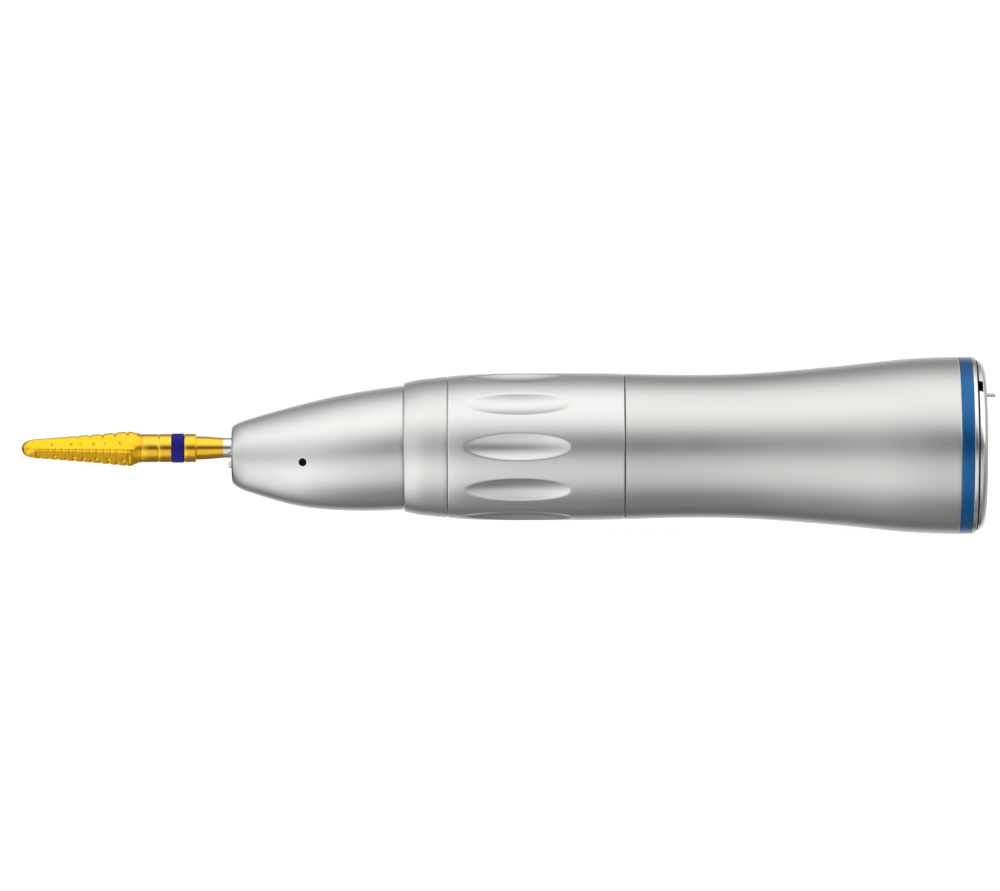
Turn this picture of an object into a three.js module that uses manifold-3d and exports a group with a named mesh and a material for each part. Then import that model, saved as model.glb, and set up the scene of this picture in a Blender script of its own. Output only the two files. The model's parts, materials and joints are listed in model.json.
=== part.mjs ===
// Straight dental handpiece, 1:1 direct drive, with a twist-ring chuck and a tapered cutter in the chuck.
// Millimetres. +X runs along the spindle from the cutter to the motor end, +Z is up.
// The origin is on the spindle axis in the plane of the motor-end face. The cutter points to -X.
import * as THREE from "three";
import { mergeVertices } from "three/addons/utils/BufferGeometryUtils.js";
import Module from "manifold-3d";

const wasm = await Module();
wasm.setup();

// ---------------------------------------------------------------- driving dimensions
const NOSE_X = -87.5; // front face of the nose
const COLLAR_X = -67.6; // joint between nose and collar
const RING_X0 = -62.5; // joint between collar and twist ring
const RING_X1 = -41.9; // joint between twist ring and rear sheath
const BAND_X0 = -3.05; // front edge of the coloured ratio band
const BAND_X1 = -1.5; // rear edge of the coloured ratio band
const SEAM = 0.1; // half of each visible joint line
const SHANK_R = 1.175; // cutter shank, 2.35 mm
const CUTTER_TIP_X = -111.95;
const SHANK_END_X = -67.5;
const SOCKET_R = 5.05; // bore that takes the motor's spigot
const SOCKET_FLOOR_X = -31.5;
const BRG = { bore: 2.5, od: 4.0, w: 2.5, pitch: 3.25, ball: 0.5, balls: 7 }; // 5 x 8 x 2.5 ball bearing
const BRG_A_X = -76.0; // centres of the three bearings
const BRG_B_X = -72.5;
const BRG_C_X = -39.75;
const CHANNEL_R = 5.98; // radius on which light guide and water tube run through the body
const LIGHT_AZ = -90; // azimuth of the light guide, from +Y towards +Z, degrees
const WATER_AZ = -139; // azimuth of the water tube
const PIN_X = -50.45; // cam pins
const TWIST_DEG = 45; // travel of the twist ring
const CAM_RISE = 0.9; // axial travel of the shift ring over that twist
const DIMPLES = 10;
const N_OUT = 24, N_MID = 14, N_SMALL = 8; // sides of the large, middle and small turned pieces

// ---------------------------------------------------------------- materials
const mat = (color, roughness, metalness) =>
  new THREE.MeshStandardMaterial({ color, roughness, metalness });
const titanium = () => mat(0xc3c4c1, 0.36, 0.9);
const steel = () => mat(0xb4b6b9, 0.25, 1.0);
const polished = () => mat(0xe2e4e7, 0.1, 1.0);
const gold = () => mat(0xe8b423, 0.28, 0.9);
const blue = () => mat(0x0e55a0, 0.35, 0.1);
const navy = () => mat(0x1d1c80, 0.45, 0.0);
const black = () => mat(0x111111, 0.6, 0.0);
const rubber = () => mat(0x1b1b1d, 0.8, 0.0);
const polymer = () => mat(0xd9cfae, 0.5, 0.0);
const glass = () => mat(0xdfeef2, 0.05, 0.0);

// ---------------------------------------------------------------- solids
const rad = THREE.MathUtils.degToRad;

// A closed geometry as a solid: shared vertices merged, collapsed faces dropped, faces turned out.
function solid(geometry) {
  const g = geometry.index ? geometry.toNonIndexed() : geometry.clone();
  for (const name of Object.keys(g.attributes))
    if (name !== "position") g.deleteAttribute(name);
  const merged = mergeVertices(g, 1e-4);
  const index = merged.index.array;
  const pos = merged.attributes.position;
  let tri = [];
  for (let i = 0; i < index.length; i += 3) {
    const [a, b, c] = [index[i], index[i + 1], index[i + 2]];
    if (a !== b && b !== c && a !== c) tri.push(a, b, c);
  }
  let volume = 0;
  const va = new THREE.Vector3(), vb = new THREE.Vector3(), vc = new THREE.Vector3();
  for (let i = 0; i < tri.length; i += 3) {
    va.fromBufferAttribute(pos, tri[i]);
    vb.fromBufferAttribute(pos, tri[i + 1]);
    vc.fromBufferAttribute(pos, tri[i + 2]);
    volume += va.dot(vb.cross(vc));
  }
  if (volume < 0)
    for (let i = 0; i < tri.length; i += 3) [tri[i + 1], tri[i + 2]] = [tri[i + 2], tri[i + 1]];
  return new wasm.Manifold(
    new wasm.Mesh({
      numProp: 3,
      vertProperties: new Float32Array(pos.array),
      triVerts: new Uint32Array(tri),
    }),
  );
}

function geometryOf(made) {
  const m = made.getMesh();
  const v = new Float32Array(m.numVert * 3);
  for (let i = 0; i < m.numVert; i++)
    v.set(m.vertProperties.subarray(i * m.numProp, i * m.numProp + 3), i * 3);
  const g = new THREE.BufferGeometry();
  g.setAttribute("position", new THREE.BufferAttribute(v, 3));
  g.setIndex(new THREE.BufferAttribute(new Uint32Array(m.triVerts), 1));
  g.computeVertexNormals();
  return g;
}

// A turned solid about the X axis. points are [x, r]; the profile closes on itself unless it ends on the axis.
function turned(points, n = N_MID) {
  const p = points.map(([x, r]) => new THREE.Vector2(r, x));
  if (points[0][1] > 0 || points[points.length - 1][1] > 0) p.push(p[0].clone());
  return solid(new THREE.LatheGeometry(p, n).rotateZ(-Math.PI / 2));
}

// A plain tube or disc between two stations.
const tube = (x0, x1, ri, ro, n = N_MID) =>
  ri > 0
    ? turned([[x0, ri], [x0, ro], [x1, ro], [x1, ri]], n)
    : turned([[x0, 0], [x0, ro], [x1, ro], [x1, 0]], n);

// A cylinder lying along +X from the origin of its own frame, moved by a matrix.
function rod(radius, length, matrix, n = N_SMALL) {
  const g = new THREE.CylinderGeometry(radius, radius, length, n);
  g.rotateZ(-Math.PI / 2).translate(length / 2, 0, 0).applyMatrix4(matrix);
  return solid(g);
}

// The frame at station x whose +X points outwards along azimuth az (degrees from +Y towards +Z).
function radialFrame(x, az, r = 0) {
  const a = rad(az);
  const out = new THREE.Vector3(0, Math.cos(a), Math.sin(a));
  const along = new THREE.Vector3(1, 0, 0);
  const side = new THREE.Vector3().crossVectors(out, along);
  return new THREE.Matrix4()
    .makeBasis(out, along, side)
    .setPosition(x, out.y * r, out.z * r);
}

// A box given in a radial frame: outwards r0..r1, along the axis +-along/2, sideways +-side/2.
function radialBox(x, az, r0, r1, along, side) {
  const g = new THREE.BoxGeometry(r1 - r0, along, side);
  g.translate((r0 + r1) / 2, 0, 0).applyMatrix4(radialFrame(x, az));
  return solid(g);
}

// A section swept along a curve with closed ends.
function swept(curve, radius, sides, steps, bore = 0) {
  const circle = (shape, r) => {
    for (let i = 0; i < sides; i++) {
      const a = (i / sides) * 2 * Math.PI;
      if (i) shape.lineTo(r * Math.cos(a), r * Math.sin(a));
      else shape.moveTo(r, 0);
    }
    shape.closePath();
    return shape;
  };
  const section = circle(new THREE.Shape(), radius);
  if (bore) section.holes.push(circle(new THREE.Path(), bore));
  return solid(
    new THREE.ExtrudeGeometry(section, { steps, extrudePath: curve, bevelEnabled: false }),
  );
}

// A loft through rings of points with flat ends.
function loft(rings) {
  const n = rings[0].length;
  const pos = [], tri = [];
  for (const ring of rings) for (const p of ring) pos.push(...p);
  for (let k = 0; k < rings.length - 1; k++)
    for (let i = 0; i < n; i++) {
      const a = k * n + i, b = k * n + ((i + 1) % n), c = a + n, d = b + n;
      tri.push(a, b, d, a, d, c);
    }
  const cap = (k, flip) => {
    const centre = [0, 0, 0];
    for (const p of rings[k]) for (let j = 0; j < 3; j++) centre[j] += p[j] / n;
    const at = pos.length / 3;
    pos.push(...centre);
    for (let i = 0; i < n; i++) {
      const a = k * n + i, b = k * n + ((i + 1) % n);
      tri.push(...(flip ? [at, a, b] : [at, b, a]));
    }
  };
  cap(0, false);
  cap(rings.length - 1, true);
  const g = new THREE.BufferGeometry();
  g.setAttribute("position", new THREE.Float32BufferAttribute(pos, 3));
  g.setIndex(tri);
  return solid(g);
}

// A circle of n points in the plane at station x, centred at height cz.
const circleAt = (x, r, cz = 0, n = N_OUT) =>
  Array.from({ length: n }, (_, i) => {
    const a = (i / n) * 2 * Math.PI;
    return [x, r * Math.cos(a), cz + r * Math.sin(a)];
  });

class Helix extends THREE.Curve {
  constructor(x0, length, radius, turns) {
    super();
    Object.assign(this, { x0, length, radius, turns });
  }
  getPoint(t, target = new THREE.Vector3()) {
    const a = t * this.turns * 2 * Math.PI;
    return target.set(this.x0 + t * this.length, this.radius * Math.cos(a), this.radius * Math.sin(a));
  }
}

const union = (list) => list.reduce((a, b) => a.add(b));
const minus = (a, list) => list.reduce((s, b) => s.subtract(b), a);

// Puts a solid, given in the handpiece's frame, into a group as a mesh with its own origin at `at`.
function part(group, name, made, material, at = [0, 0, 0]) {
  const g = geometryOf(made);
  g.translate(-at[0], -at[1], -at[2]);
  const mesh = new THREE.Mesh(g, material);
  mesh.name = name;
  mesh.position.set(...at);
  group.add(mesh);
  return mesh;
}

// ---------------------------------------------------------------- assembly tree
const handpiece = new THREE.Group();
const housing = new THREE.Group();
const spindleGroup = new THREE.Group();
const chuck = new THREE.Group();
const cutter = new THREE.Group();
const cages = new THREE.Group();
const twist = new THREE.Group();
const shift = new THREE.Group();
handpiece.add(housing, spindleGroup, cages, twist, shift);
spindleGroup.add(chuck);
chuck.add(cutter);

// ---------------------------------------------------------------- routes of the light guide and the water tube
const route = (az, list) =>
  new THREE.CatmullRomCurve3(
    list.map(([x, r]) => new THREE.Vector3(x, r * Math.cos(rad(az)), r * Math.sin(rad(az)))),
    false,
    "centripetal",
  );
const lightRoute = route(LIGHT_AZ, [
  [-87.6, 3.2], [-84, 4.12], [-80.5, 5.0], [-77.5, 5.66], [-75, 5.93], [-72, CHANNEL_R], [-60, CHANNEL_R],
  [-50, CHANNEL_R], [-43, CHANNEL_R], [-40, 6.2], [-36.5, 6.66], [-33, 6.84], [-24, 6.86], [-15, 7.15], [-7, 7.38], [-0.15, 7.4],
]);
const waterRoute = route(WATER_AZ, [
  [-86.2, 3.25], [-83, 4.08], [-80, 4.86], [-77.5, 5.45], [-75, 5.86], [-72, CHANNEL_R], [-60, CHANNEL_R],
  [-50, CHANNEL_R], [-43, CHANNEL_R], [-40, 6.2], [-36.5, 6.66], [-33, 6.8], [-24, 6.8], [-13.0, 6.8],
]);
const LIGHT_STEPS = 20, WATER_STEPS = 18;
const lightBore = swept(lightRoute, 0.67, 8, LIGHT_STEPS);
const waterBore = swept(waterRoute, 0.48, 6, WATER_STEPS);
const lightDir = new THREE.Matrix4().makeRotationY(Math.atan2(0.92, 3.6)).setPosition(NOSE_X - 0.6, 0, -3.05);
const lightMouth = rod(0.66, 3, lightDir, 10);

// ---------------------------------------------------------------- nose cone: a turned shell whose lower side bellies out over the light guide
// [x, height above the axis, depth below the axis]
const NOSE = [
  [NOSE_X, 2.35, 4.0], [-87.3, 2.6, 4.3], [-86.9, 2.85, 4.6], [-86.1, 3.2, 5.0], [-84, 3.77, 5.62],
  [-81.2, 4.55, 6.48], [-78.4, 5.28, 6.98], [-75.6, 5.86, 7.22], [-72.8, 6.4, 7.35], [-70, 6.82, 7.3],
  [COLLAR_X - SEAM, 7.15, 7.24],
];
const noseRing = ([x, up, down], wall = 0, dx = 0) => circleAt(x + dx, (up + down) / 2 - wall, (up - down) / 2);
const noseOuter = loft(NOSE.map((s) => noseRing(s)));
const noseHollow = loft([
  noseRing([-75.2, 5.93, 7.24], 0.62),
  ...NOSE.slice(8, 10).map((s) => noseRing(s, 0.62)),
  noseRing(NOSE[10], 0.62, 0.3),
]);
const NOZZLE_R = 2.955;
const nozzlePoint = [0, NOZZLE_R * Math.cos(rad(WATER_AZ)), NOZZLE_R * Math.sin(rad(WATER_AZ))];
const axialAt = (x, y, z) => new THREE.Matrix4().makeTranslation(x, y, z);
const DOT = { x: -79.27, az: 187.2, r: 0.42 };
const dotFrame = new THREE.Matrix4();
{
  // Outward direction of the nose's skin at the index dot.
  const c = -0.94, r = 6.03;
  const n = new THREE.Vector3(-0.24, Math.cos(rad(DOT.az)), Math.sin(rad(DOT.az))).normalize();
  const u = new THREE.Vector3(1, 0, 0).cross(n).normalize();
  const w = new THREE.Vector3().crossVectors(n, u);
  dotFrame.makeBasis(n, u, w).setPosition(DOT.x, r * Math.cos(rad(DOT.az)), c + r * Math.sin(rad(DOT.az)));
}
const dotAt = (start, length, radius) => rod(radius, length, dotFrame.clone().multiply(new THREE.Matrix4().makeTranslation(start, 0, 0)), 12);
part(
  housing, "nose_cone",
  minus(noseOuter, [
    noseHollow,
    tube(NOSE_X - 1, -86, 0, 1.95),
    tube(-87, -79, 0, 2.4),
    tube(-79.3, -74, 0, 4.5),
    lightBore, lightMouth, waterBore,
    rod(0.46, 3, axialAt(NOSE_X - 1, nozzlePoint[1], nozzlePoint[2]), 12),
    dotAt(-0.4, 1.5, DOT.r + 0.06),
  ]),
  titanium(), [COLLAR_X, 0, 0],
);
part(housing, "index_dot", dotAt(-0.36, 0.3, DOT.r), black(), [DOT.x, 0, 0]);
part(
  housing, "spray_nozzle",
  minus(rod(0.38, 1.5, axialAt(NOSE_X - 0.35, nozzlePoint[1], nozzlePoint[2]), 12), [
    rod(0.16, 3, axialAt(NOSE_X - 1, nozzlePoint[1], nozzlePoint[2]), 8),
  ]),
  polished(), [NOSE_X, nozzlePoint[1], nozzlePoint[2]],
);

// ---------------------------------------------------------------- collar between nose and twist ring
part(
  housing, "front_collar",
  minus(
    turned([
      [COLLAR_X + SEAM, 4.5], [COLLAR_X + SEAM, 7.45], [-67.3, 7.6], [-66, 7.84], [-64.4, 8.04],
      [RING_X0 - SEAM, 8.2], [RING_X0 - SEAM, 6.8], [-60.6, 6.8], [-60.6, 4.5],
    ], N_OUT),
    [lightBore, waterBore],
  ),
  titanium(), [RING_X0, 0, 0],
);

// ---------------------------------------------------------------- front bearing housing and what it holds
part(
  housing, "front_housing",
  turned([
    [-78.5, 4.02], [-78.5, 4.4], [-60.0, 4.4], [-60.0, 3.6], [-70.0, 3.6], [-70.0, 3.4], [-70.75, 3.4], [-70.75, 4.02],
  ]),
  steel(), [-78.5, 0, 0],
);
part(housing, "nose_o_ring", turned(
  Array.from({ length: 6 }, (_, i) => [-78.9 + 0.32 * Math.cos((i / 6) * 2 * Math.PI), 4.08 + 0.32 * Math.sin((i / 6) * 2 * Math.PI)]),
), rubber(), [-78.9, 0, 0]);
part(
  housing, "front_bearing_nut",
  minus(tube(-78.4, -77.3, 3.15, 3.98), [radialBox(-78.4, 0, 3, 4.2, 0.8, 0.8), radialBox(-78.4, 180, 3, 4.2, 0.8, 0.8)]),
  steel(), [-78.4, 0, 0],
);

// One ball bearing: two grooved races and a cage that carries its balls.
const race = (xc, points) => turned(points.map(([x, r]) => [xc + x, r]));
function bearing(tag, xc) {
  const h = BRG.w / 2;
  part(spindleGroup, tag + "_inner_race", race(xc, [
    [-h, 2.52], [-h, 2.88], [-0.42, 2.88], [-0.2, 2.72], [0.2, 2.72], [0.42, 2.88], [h, 2.88], [h, 2.52],
  ]), polished(), [xc, 0, 0]);
  part(housing, tag + "_outer_race", race(xc, [
    [-h, 3.98], [-h, 3.62], [-0.42, 3.62], [-0.2, 3.86], [0.2, 3.86], [0.42, 3.62], [h, 3.62], [h, 3.98],
  ]), polished(), [xc, 0, 0]);
  const balls = Array.from({ length: BRG.balls }, (_, i) => {
    const a = ((i + 0.5) / BRG.balls) * 2 * Math.PI;
    return solid(new THREE.IcosahedronGeometry(BRG.ball, 0).translate(xc, BRG.pitch * Math.cos(a), BRG.pitch * Math.sin(a)));
  });
  part(cages, tag + "_balls", union([tube(xc - 0.62, xc + 0.62, 3.08, 3.42), ...balls]), polished(), [xc, 0, 0]);
}
bearing("front_bearing_a", BRG_A_X);
bearing("front_bearing_b", BRG_B_X);
bearing("rear_bearing", BRG_C_X);
part(housing, "bearing_outer_spacer", tube(-74.7, -73.8, 3.65, 3.98), steel(), [-74.7, 0, 0]);
part(spindleGroup, "bearing_inner_spacer", tube(-74.7, -73.8, 2.52, 2.85), steel(), [-74.7, 0, 0]);
{
  // Wave spring that preloads the front pair.
  const ring = (ri, ro, x0, x1) => {
    const rings = [];
    for (let k = 0; k < N_MID; k++) {
      const a = (k / N_MID) * 2 * Math.PI, dx = 0.1 * Math.cos(3 * a);
      rings.push([[x0, ri], [x0, ro], [x1, ro], [x1, ri]].map(([x, r]) => [x + dx, r * Math.cos(a), r * Math.sin(a)]));
    }
    const pos = [], tri = [];
    for (const q of rings) for (const p of q) pos.push(...p);
    for (let k = 0; k < N_MID; k++)
      for (let i = 0; i < 4; i++) {
        const a = k * 4 + i, b = k * 4 + ((i + 1) % 4), c = ((k + 1) % N_MID) * 4 + i, d = ((k + 1) % N_MID) * 4 + ((i + 1) % 4);
        tri.push(a, b, d, a, d, c);
      }
    const g = new THREE.BufferGeometry();
    g.setAttribute("position", new THREE.Float32BufferAttribute(pos, 3));
    g.setIndex(tri);
    return solid(g);
  };
  part(housing, "preload_wave_spring", ring(3.5, 3.95, -71.04, -70.94), steel(), [-71, 0, 0]);
}
part(spindleGroup, "spindle_nut", minus(tube(-71.15, -69.6, 2.55, 3.2, N_MID), [
  radialBox(-69.6, 0, 2.4, 3.5, 0.9, 0.8), radialBox(-69.6, 180, 2.4, 3.5, 0.9, 0.8),
]), steel(), [-71.15, 0, 0]);

// ---------------------------------------------------------------- spindle, drive dog and chuck spring
part(
  spindleGroup, "spindle",
  minus(
    turned([
      [-86.9, 2.0], [-86.9, 2.2], [-78.1, 2.2], [-78.1, 2.95], [-77.3, 2.95], [-77.3, 2.5], [-69.5, 2.5], [-69.5, 2.45],
      [-41.2, 2.45], [-41.2, 2.5], [-38.45, 2.5], [-38.45, 2.05], [-64, 2.05], [-64, 1.7], [-85.6, 1.7],
    ]),
    [radialBox(-52.8, 90, -4, 4, 1.56, 0.96)],
  ),
  steel(), [-86.9, 0, 0],
);
{
  const body = turned([[-43.5, 0], [-43.5, 2.0], [-38.4, 2.0], [-38.4, 2.8], [-37.95, 2.8], [-37.95, 2.1], [-29.0, 2.1], [-28.6, 1.7], [-28.6, 0]], N_MID);
  part(spindleGroup, "drive_dog", minus(body, [radialBox(-29.0, 90, -4, 4, 4.4, 1.5)]), steel(), [-38.4, 0, 0]);
}
part(spindleGroup, "chuck_spring", swept(new Helix(-63.7, 7.4, 1.66, 6), 0.2, 4, 60), steel(), [-64, 0, 0]);

// ---------------------------------------------------------------- collet, draw bar and pusher
{
  const body = turned([
    [-87.1, 1.2], [-87.1, 1.8], [-86.9, 1.85], [-85.7, 1.6], [-64.6, 1.6], [-64.6, 1.05], [-66.8, 1.05], [-66.8, 0],
    [-67.2, 0], [-67.2, 1.2],
  ], N_MID);
  part(chuck, "collet", minus(body, [90, 210, 330].map((az) => radialBox(-79.8, az, 0.4, 3, 15.6, 0.3))), steel(), [-87.1, 0, 0]);
}
part(
  chuck, "draw_bar",
  minus(turned([[-66.6, 0], [-66.6, 1.0], [-64.5, 1.0], [-64.5, 1.3], [-51.0, 1.3], [-51.0, 0]], N_MID), [
    rod(0.43, 4, radialFrame(-52.5, 90, -2), N_SMALL),
  ]),
  steel(), [-66.6, 0, 0],
);
part(chuck, "draw_bar_nut", tube(-56.0, -54.6, 1.35, 1.95), steel(), [-56, 0, 0]);
part(
  chuck, "pusher_collar",
  minus(tube(-53.3, -51.7, 2.6, 3.6), [rod(0.43, 9, radialFrame(-52.5, 90, -4.5), N_SMALL)]),
  steel(), [-52.5, 0, 0],
);
part(chuck, "cross_pin", rod(0.38, 6.8, radialFrame(-52.5, 90, -3.4), N_SMALL), polished(), [-52.5, 0, 0]);

// ---------------------------------------------------------------- cutter: fluted carbide head, banded shank
{
  const head = [
    [CUTTER_TIP_X, 0.3], [-111.75, 0.62], [-111.35, 0.88], [-110.4, 1.05], [-108, 1.2], [-105.5, 1.4], [-103, 1.6],
    [-100.6, 1.84], [-99.2, 1.97], [-98.7, 1.94], [-98.1, 1.72],
  ];
  const rings = head.map(([x, r], k) =>
    Array.from({ length: 16 }, (_, i) => {
      const a = (i / 16) * 2 * Math.PI + (x - CUTTER_TIP_X) * 0.05;
      const rr = r * (k === 0 || k > 8 ? 0.97 : i % 2 ? 0.9 : 1);
      return [x, rr * Math.cos(a), rr * Math.sin(a)];
    }),
  );
  part(cutter, "cutter_head", minus(loft(rings), [tube(-101, -98, 0, 0.85, 16)]), gold(), [-98.1, 0, 0]);
  part(cutter, "cutter_shank", turned([
    [-100.8, 0], [-100.8, 0.8], [-98.0, 0.8], [-98.0, 1.64], [-94.5, 1.64], [-94.5, 1.5], [-93.0, 1.5], [-93.0, 1.64],
    [-91.6, 1.64], [-91.6, 1.34], [-88.4, SHANK_R], [SHANK_END_X - 0.2, SHANK_R], [SHANK_END_X, SHANK_R - 0.2], [SHANK_END_X, 0],
  ], N_MID), gold(), [-98, 0, 0]);
  part(cutter, "cutter_band", tube(-94.46, -93.04, 1.53, 1.67), navy(), [-94.46, 0, 0]);
}

// ---------------------------------------------------------------- centre frame inside the twist ring
part(
  housing, "centre_frame",
  minus(turned([[-59.9, 4.5], [-59.9, 5.2], [-42.1, 5.2], [-42.1, 4.5]], N_MID), [
    radialBox(-50.9, 0, 3, 6, 2.5, 1.5), radialBox(-50.9, 180, 3, 6, 2.5, 1.5),
  ]),
  steel(), [-59.9, 0, 0],
);

// ---------------------------------------------------------------- twist ring, its cam liner and its slide washers
{
  const outer = turned([
    [RING_X0 + SEAM, 7.55], [RING_X0 + SEAM, 8.22], [-61.4, 8.34], [-59, 8.46], [-55.5, 8.55], [-45, 8.55],
    [RING_X1 - SEAM, 8.46], [RING_X1 - SEAM, 7.55],
  ], N_OUT);
  const cutters = Array.from({ length: DIMPLES }, (_, i) => {
    const g = new THREE.SphereGeometry(1, 8, 8).scale(1.1, 7.1, 1.85);
    return solid(g.applyMatrix4(radialFrame(-54.3, 180 + (i * 360) / DIMPLES, 9.1)));
  });
  part(twist, "twist_ring", minus(outer, cutters), titanium(), [RING_X0, 0, 0]);

  // Helical slot for one cam pin, as a bar of constant width that climbs over the twist.
  const slot = (az0) => {
    const rings = [];
    const margin = 7, n = 8, half = 0.82;
    for (let k = 0; k <= n; k++) {
      const t = -margin + (k / n) * (TWIST_DEG + 2 * margin);
      const a = rad(az0 - t), x = PIN_X - (t / TWIST_DEG) * CAM_RISE;
      rings.push([[x - half, 6.5], [x + half, 6.5], [x + half, 7.9], [x - half, 7.9]].map(([px, r]) => [px, r * Math.cos(a), r * Math.sin(a)]));
    }
    return loft(rings);
  };
  // Track that the detent ball runs in.
  const track = () => {
    const rings = [];
    for (let k = 0; k <= 8; k++) {
      const a = rad(90 + 8 - (k / 8) * (TWIST_DEG + 16));
      rings.push([[-43.62, 6.5], [-42.58, 6.5], [-42.58, 7.28], [-43.62, 7.28]].map(([px, r]) => [px, r * Math.cos(a), r * Math.sin(a)]));
    }
    return loft(rings);
  };
  part(twist, "cam_ring", minus(tube(-62.1, -42.4, 6.9, 7.5, N_OUT), [slot(0), slot(180), track()]), steel(), [-62.1, 0, 0]);
}
part(housing, "front_slide_washer", tube(-62.5, -62.2, 6.9, 7.45, N_OUT), polymer(), [-62.5, 0, 0]);
part(housing, "rear_slide_washer", tube(-42.3, -42.05, 6.9, 7.45, N_OUT), polymer(), [-42.3, 0, 0]);

// ---------------------------------------------------------------- shift ring and cam pins
part(
  shift, "shift_ring",
  minus(tube(-51.35, -49.55, 2.8, 4.3), [rod(0.7, 9, radialFrame(PIN_X, 0, -4.5), N_SMALL)]),
  steel(), [PIN_X, 0, 0],
);
part(shift, "cam_pin_a", rod(0.65, 4.2, radialFrame(PIN_X, 0, 3.15), N_SMALL), polished(), [PIN_X, 0, 0]);
part(shift, "cam_pin_b", rod(0.65, 4.2, radialFrame(PIN_X, 180, 3.15), N_SMALL), polished(), [PIN_X, 0, 0]);

// ---------------------------------------------------------------- detent
part(housing, "detent_ball", solid(new THREE.IcosahedronGeometry(0.45, 0).translate(-43.1, 0, 6.72)), polished(), [-43.1, 0, 6.72]);
{
  const turns = 4, h = 0.62;
  class Coil extends THREE.Curve {
    getPoint(t, target = new THREE.Vector3()) {
      const a = t * turns * 2 * Math.PI;
      return target.set(-43.1 + 0.34 * Math.cos(a), 0.34 * Math.sin(a), 5.58 + t * h);
    }
  }
  part(housing, "detent_spring", swept(new Coil(), 0.06, 4, 28), steel(), [-43.1, 0, 5.5]);
}

// ---------------------------------------------------------------- rear bulkhead: carries the rear bearing, the sheath and the coupling sleeve
part(
  housing, "rear_bulkhead",
  minus(
    turned([
      [-43.9, 5.3], [-43.9, 6.8], [-41.95, 6.8], [-41.95, 7.6], [-41.2, 7.6], [-41.2, 7.0], [-40.4, 7.0], [-40.4, 7.6],
      [-31.5, 7.6], [-31.5, 5.98], [-34.1, 5.98], [-34.1, 2.6], [-36.85, 2.6], [-36.85, 4.02], [-37.95, 4.02], [-37.95, 4.35],
      [-38.4, 4.35], [-38.4, 4.02], [-41.05, 4.02], [-41.05, 3.6], [-42.0, 3.6], [-42.0, 5.3],
    ], N_OUT),
    [lightBore, waterBore, rod(0.5, 3, radialFrame(-43.1, 90, 5.45), N_SMALL)],
  ),
  steel(), [-41.95, 0, 0],
);
part(housing, "sheath_o_ring", turned(
  Array.from({ length: 6 }, (_, i) => [-40.8 + 0.31 * Math.cos((i / 6) * 2 * Math.PI), 7.35 + 0.31 * Math.sin((i / 6) * 2 * Math.PI)]), N_OUT,
), rubber(), [-40.8, 0, 0]);
part(housing, "bearing_circlip", minus(tube(-38.36, -38.0, 3.55, 4.3), [radialBox(-38.2, -40, 2, 6, 1, 1.6)]), steel(), [-38.4, 0, 0]);
part(housing, "shaft_seal", tube(-37.88, -36.92, 2.22, 3.95), rubber(), [-37.9, 0, 0]);

// ---------------------------------------------------------------- coupling sleeve that takes the motor's spigot
const FITTING_X = -12.5;
part(
  housing, "coupling_sleeve",
  minus(
    turned([
      [-34.0, 2.6], [-34.0, 5.9], [-0.1, 5.9], [-0.1, 5.4], [-0.5, SOCKET_R], [-26.55, SOCKET_R], [-26.55, 5.5], [-27.45, 5.5],
      [-27.45, SOCKET_R], [SOCKET_FLOOR_X, SOCKET_R], [SOCKET_FLOOR_X, 2.6],
    ], N_OUT),
    [rod(0.4, 3, radialFrame(FITTING_X, WATER_AZ, 4), 8)],
  ),
  steel(), [-34, 0, 0],
);
{
  class Arc extends THREE.Curve {
    getPoint(t, target = new THREE.Vector3()) {
      const a = rad(-60 + t * 300);
      return target.set(-27, 5.15 * Math.cos(a), 5.15 * Math.sin(a));
    }
  }
  part(housing, "lock_spring", swept(new Arc(), 0.25, 6, 24), steel(), [-27, 0, 0]);
}
part(
  housing, "water_fitting",
  minus(rod(0.85, 1.3, radialFrame(FITTING_X, WATER_AZ, 6.05), N_SMALL), [
    rod(0.3, 1.3, radialFrame(FITTING_X, WATER_AZ, 5.8), 8),
    rod(0.42, 1, new THREE.Matrix4().makeTranslation(FITTING_X - 1.35, 6.75 * Math.cos(rad(WATER_AZ)), 6.75 * Math.sin(rad(WATER_AZ))), 8),
  ]),
  steel(), [FITTING_X, 0, 0],
);

// ---------------------------------------------------------------- rear sheath, ratio band, end ring and end flange
part(
  housing, "rear_sheath",
  turned([
    [RING_X1 + SEAM, 7.72], [RING_X1 + SEAM, 8.46], [-37, 8.34], [-31.5, 8.31], [-27, 8.48], [-22.6, 8.76], [-18.4, 9.12],
    [-14.2, 9.55], [-10.5, 9.96], [-7.2, 10.22], [BAND_X0 - 0.03, 10.3], [BAND_X0 - 0.03, 9.34], [-7.2, 9.34], [-12, 8.9],
    [-18.4, 8.3], [-26, 7.72],
  ], N_OUT),
  titanium(), [RING_X1, 0, 0],
);
part(housing, "ratio_band", tube(BAND_X0 + 0.03, BAND_X1, 9.34, 10.3, N_OUT), blue(), [BAND_X0, 0, 0]);
part(housing, "end_ring", turned([[BAND_X1 + 0.05, 9.34], [BAND_X1 + 0.05, 10.3], [-0.92, 9.95], [-0.92, 9.34]], N_OUT), polished(), [BAND_X1, 0, 0]);
const FLANGE_PIN = { az: 126.5, r: 7.22 };
const flangePin = [FLANGE_PIN.r * Math.cos(rad(FLANGE_PIN.az)), FLANGE_PIN.r * Math.sin(rad(FLANGE_PIN.az))];
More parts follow.
